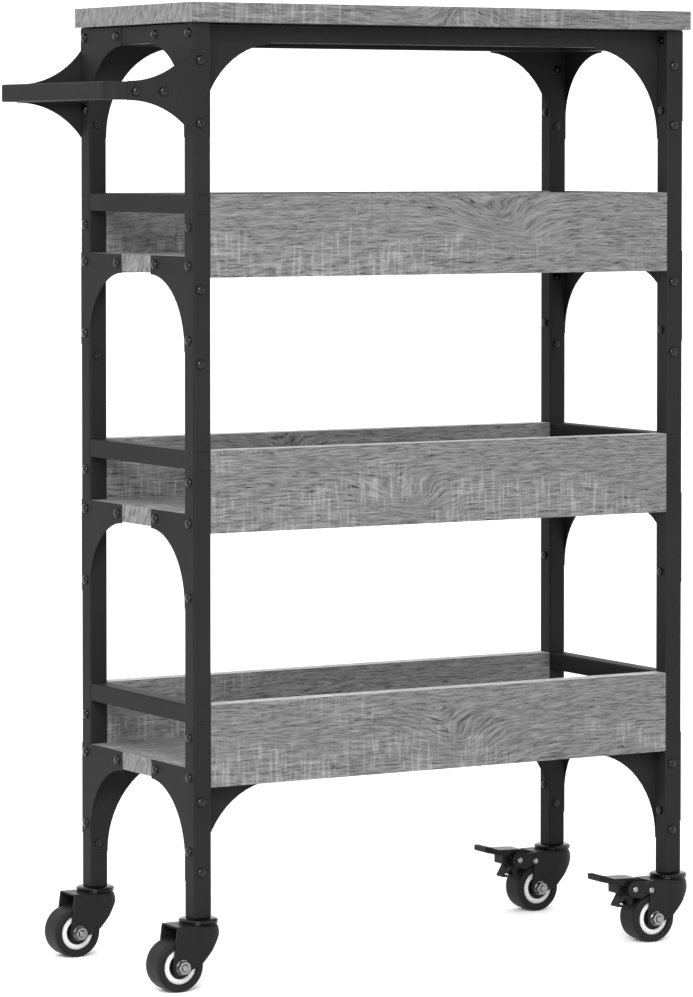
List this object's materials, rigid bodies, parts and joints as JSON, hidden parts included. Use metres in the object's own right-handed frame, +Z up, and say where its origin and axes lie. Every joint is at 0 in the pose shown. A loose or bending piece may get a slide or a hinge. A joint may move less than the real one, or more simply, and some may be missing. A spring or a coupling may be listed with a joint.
{
  "type": "kitchen island cart",
  "caption": "Slim rolling kitchen cart: wood-look worktop over open trays in a black tube frame with curved corner plates, an end push handle and swivel casters, two with brake pedals.",
  "frame": {"origin": "centre of the footprint, on the floor that the casters stand on", "axes": "+Z up, X along the cart with the push handle at -X, +Y from the front to the back"},
  "size_m": [0.629, 0.2446, 0.89],
  "materials": {
    "frame_steel": "satin black coating on square tube",
    "plate_steel": "satin black coating on flat plate",
    "fork_steel": "smooth black coating on pressed steel",
    "oak_laminate": "grey oak laminate with fine grain, matt",
    "bright_steel": "bright zinc plating",
    "wheel_rubber": "matt black tread with a pale side ring",
    "pedal_plastic": "satin black"
  },
  "bodies": {
    "cart": {"end_frame_left": "frame_steel", "end_frame_right": "frame_steel", "top_rail_front": "frame_steel", "top_rail_back": "frame_steel", "worktop": "oak_laminate", "shelf_upper": "oak_laminate", "panel_front_upper": "oak_laminate", "panel_back_upper": "oak_laminate", "shelf_middle": "oak_laminate", "panel_front_middle": "oak_laminate", "panel_back_middle": "oak_laminate", "shelf_lower": "oak_laminate", "panel_front_lower": "oak_laminate", "panel_back_lower": "oak_laminate", "side_gusset_top_left_front": "plate_steel", "side_gusset_upper_left_front": "plate_steel", "side_gusset_middle_left_front": "plate_steel", "side_gusset_lower_left_front": "plate_steel", "inner_gusset_top_left_front": "plate_steel", "inner_gusset_lower_left_front": "plate_steel", "side_gusset_top_left_back": "plate_steel", "side_gusset_upper_left_back": "plate_steel", "side_gusset_middle_left_back": "plate_steel", "side_gusset_lower_left_back": "plate_steel", "inner_gusset_top_left_back": "plate_steel", "inner_gusset_lower_left_back": "plate_steel", "side_gusset_top_right_front": "plate_steel", "side_gusset_upper_right_front": "plate_steel", "side_gusset_middle_right_front": "plate_steel", "side_gusset_lower_right_front": "plate_steel", "inner_gusset_top_right_front": "plate_steel", "inner_gusset_lower_right_front": "plate_steel", "side_gusset_top_right_back": "plate_steel", "side_gusset_upper_right_back": "plate_steel", "side_gusset_middle_right_back": "plate_steel", "side_gusset_lower_right_back": "plate_steel", "inner_gusset_top_right_back": "plate_steel", "inner_gusset_lower_right_back": "plate_steel", "handle": "frame_steel", "handle_plate_front": "plate_steel", "handle_plate_back": "plate_steel", "caster_left_front_stem": "bright_steel", "caster_left_back_stem": "bright_steel", "caster_right_front_stem": "bright_steel", "caster_right_back_stem": "bright_steel"},
    "swivel_left_front": {"caster_left_front_fork": "fork_steel", "caster_left_front_axle": "bright_steel"},
    "wheel_left_front": {"caster_left_front_wheel": "wheel_rubber"},
    "swivel_left_back": {"caster_left_back_fork": "fork_steel", "caster_left_back_axle": "bright_steel"},
    "wheel_left_back": {"caster_left_back_wheel": "wheel_rubber"},
    "swivel_right_front": {"caster_right_front_fork": "fork_steel", "caster_right_front_axle": "bright_steel"},
    "wheel_right_front": {"caster_right_front_wheel": "wheel_rubber"},
    "pedal_front": {"caster_right_front_pedal": "pedal_plastic"},
    "swivel_right_back": {"caster_right_back_fork": "fork_steel", "caster_right_back_axle": "bright_steel"},
    "wheel_right_back": {"caster_right_back_wheel": "wheel_rubber"},
    "pedal_back": {"caster_right_back_pedal": "pedal_plastic"}
  },
  "joints": [
    {"name": "swivel_left_front_turn", "type": "hinge", "parent": "cart", "child": "swivel_left_front", "pos_m": [-0.2192, -0.1025, 0.059], "axis": [0, 0, 1], "continuous": true},
    {"name": "wheel_left_front_spin", "type": "hinge", "parent": "swivel_left_front", "child": "wheel_left_front", "pos_m": [-0.2436, -0.1025, 0.0234], "axis": [0, 1, 0], "continuous": true},
    {"name": "swivel_left_back_turn", "type": "hinge", "parent": "cart", "child": "swivel_left_back", "pos_m": [-0.2192, 0.1025, 0.059], "axis": [0, 0, 1], "continuous": true},
    {"name": "wheel_left_back_spin", "type": "hinge", "parent": "swivel_left_back", "child": "wheel_left_back", "pos_m": [-0.2436, 0.1025, 0.0234], "axis": [0, 1, 0], "continuous": true},
    {"name": "swivel_right_front_turn", "type": "hinge", "parent": "cart", "child": "swivel_right_front", "pos_m": [0.2938, -0.1025, 0.059], "axis": [0, 0, 1], "continuous": true},
    {"name": "wheel_right_front_spin", "type": "hinge", "parent": "swivel_right_front", "child": "wheel_right_front", "pos_m": [0.2694, -0.1025, 0.0234], "axis": [0, 1, 0], "continuous": true},
    {"name": "pedal_front_press", "type": "hinge", "parent": "swivel_right_front", "child": "pedal_front", "pos_m": [0.2458, -0.1025, 0.053], "axis": [0, 1, 0], "range_deg": [-8, 0]},
    {"name": "swivel_right_back_turn", "type": "hinge", "parent": "cart", "child": "swivel_right_back", "pos_m": [0.2938, 0.1025, 0.059], "axis": [0, 0, 1], "continuous": true},
    {"name": "wheel_right_back_spin", "type": "hinge", "parent": "swivel_right_back", "child": "wheel_right_back", "pos_m": [0.2694, 0.1025, 0.0234], "axis": [0, 1, 0], "continuous": true},
    {"name": "pedal_back_press", "type": "hinge", "parent": "swivel_right_back", "child": "pedal_back", "pos_m": [0.2458, 0.1025, 0.053], "axis": [0, 1, 0], "range_deg": [-8, 0]}
  ]
}
